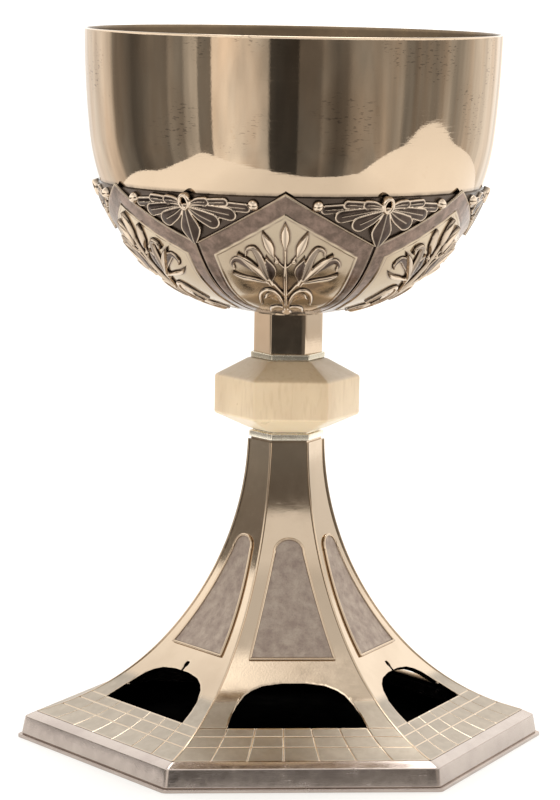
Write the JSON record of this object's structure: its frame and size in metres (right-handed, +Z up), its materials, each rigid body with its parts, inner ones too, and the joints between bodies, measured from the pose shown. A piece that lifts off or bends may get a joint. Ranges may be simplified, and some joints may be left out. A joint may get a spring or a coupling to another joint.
{
  "type": "communion chalice",
  "caption": "Communion chalice: plain round cup in a petalled lily calyx, hexagonal stem with an ivory knop, and a flared pierced foot, clamped on a hidden tie rod.",
  "frame": {"origin": "on the table, at the centre of the hexagonal foot", "axes": "+Z up along the tie rod to the rim; one face of the foot towards -Y, corners of the foot on +X and -X"},
  "size_m": [0.1348, 0.1168, 0.18],
  "materials": {
    "polished_silver": "warm polished silver with fine scratches",
    "satin_silver": "satin silver",
    "etched_silver": "etched matte silver",
    "oxidised_silver": "oxidised silver",
    "ivory": "polished ivory with fine grain",
    "brass_fittings": "turned brass",
    "black_plate": "blackened plate"
  },
  "bodies": {
    "foot": {"base_flange": "polished_silver", "base_moulding": "polished_silver", "base_plate": "black_plate", "neck_cap": "polished_silver", "foot_panel_1": "polished_silver", "foot_panel_2": "polished_silver", "foot_panel_3": "polished_silver", "foot_panel_4": "polished_silver", "foot_panel_5": "polished_silver", "foot_panel_6": "polished_silver", "etched_plate_1": "etched_silver", "etched_plate_2": "etched_silver", "etched_plate_3": "etched_silver", "etched_plate_4": "etched_silver", "etched_plate_5": "etched_silver", "etched_plate_6": "etched_silver", "panel_frame_1": "polished_silver", "panel_frame_2": "polished_silver", "panel_frame_3": "polished_silver", "panel_frame_4": "polished_silver", "panel_frame_5": "polished_silver", "panel_frame_6": "polished_silver", "ridge_wire_1": "polished_silver", "ridge_wire_2": "polished_silver", "ridge_wire_3": "polished_silver", "ridge_wire_4": "polished_silver", "ridge_wire_5": "polished_silver", "ridge_wire_6": "polished_silver"},
    "lower_collar": {"lower_collar": "satin_silver"},
    "knop": {"knop": "ivory", "knop_sleeve": "brass_fittings"},
    "upper_collar": {"upper_collar": "satin_silver"},
    "upper_stem": {"upper_stem": "polished_silver"},
    "cup": {"cup_bowl": "polished_silver", "calyx_skin": "oxidised_silver", "cup_seat": "polished_silver", "tie_rod": "brass_fittings", "calyx_petal_1": "polished_silver", "calyx_petal_2": "polished_silver", "calyx_petal_3": "polished_silver", "calyx_petal_4": "polished_silver", "calyx_petal_5": "polished_silver", "calyx_petal_6": "polished_silver", "lily_spray_1": "polished_silver", "lily_spray_2": "polished_silver", "lily_spray_3": "polished_silver", "lily_spray_4": "polished_silver", "lily_spray_5": "polished_silver", "lily_spray_6": "polished_silver", "palmette_1": "oxidised_silver", "palmette_2": "oxidised_silver", "palmette_3": "oxidised_silver", "palmette_4": "oxidised_silver", "palmette_5": "oxidised_silver", "palmette_6": "oxidised_silver"},
    "washer": {"clamp_washer": "brass_fittings"},
    "nut": {"clamp_nut": "brass_fittings"}
  },
  "joints": [
    {"name": "lower_collar_turn", "type": "hinge", "parent": "foot", "child": "lower_collar", "pos_m": [0, 0, 0.0783], "axis": [0, 0, 1], "continuous": true},
    {"name": "knop_turn", "type": "hinge", "parent": "foot", "child": "knop", "pos_m": [0, 0, 0.0885], "axis": [0, 0, 1], "continuous": true},
    {"name": "upper_collar_turn", "type": "hinge", "parent": "foot", "child": "upper_collar", "pos_m": [0, 0, 0.0984], "axis": [0, 0, 1], "continuous": true},
    {"name": "stem_turn", "type": "hinge", "parent": "foot", "child": "upper_stem", "pos_m": [0, 0, 0.1045], "axis": [0, 0, 1], "continuous": true},
    {"name": "cup_turn", "type": "hinge", "parent": "foot", "child": "cup", "pos_m": [0, 0, 0.13], "axis": [0, 0, 1], "continuous": true},
    {"name": "washer_drop", "type": "slide", "parent": "cup", "child": "washer", "axis": [0, 0, -1], "range_m": [0, 0.008]},
    {"name": "nut_turn", "type": "hinge", "parent": "washer", "child": "nut", "pos_m": [0, 0, 0.0727], "axis": [0, 0, -1], "range_deg": [0, 2880]}
  ],
  "couplings": [
    {"joint": "nut_turn", "follows": "washer_drop", "rad_per_m": 6283.2}
  ]
}
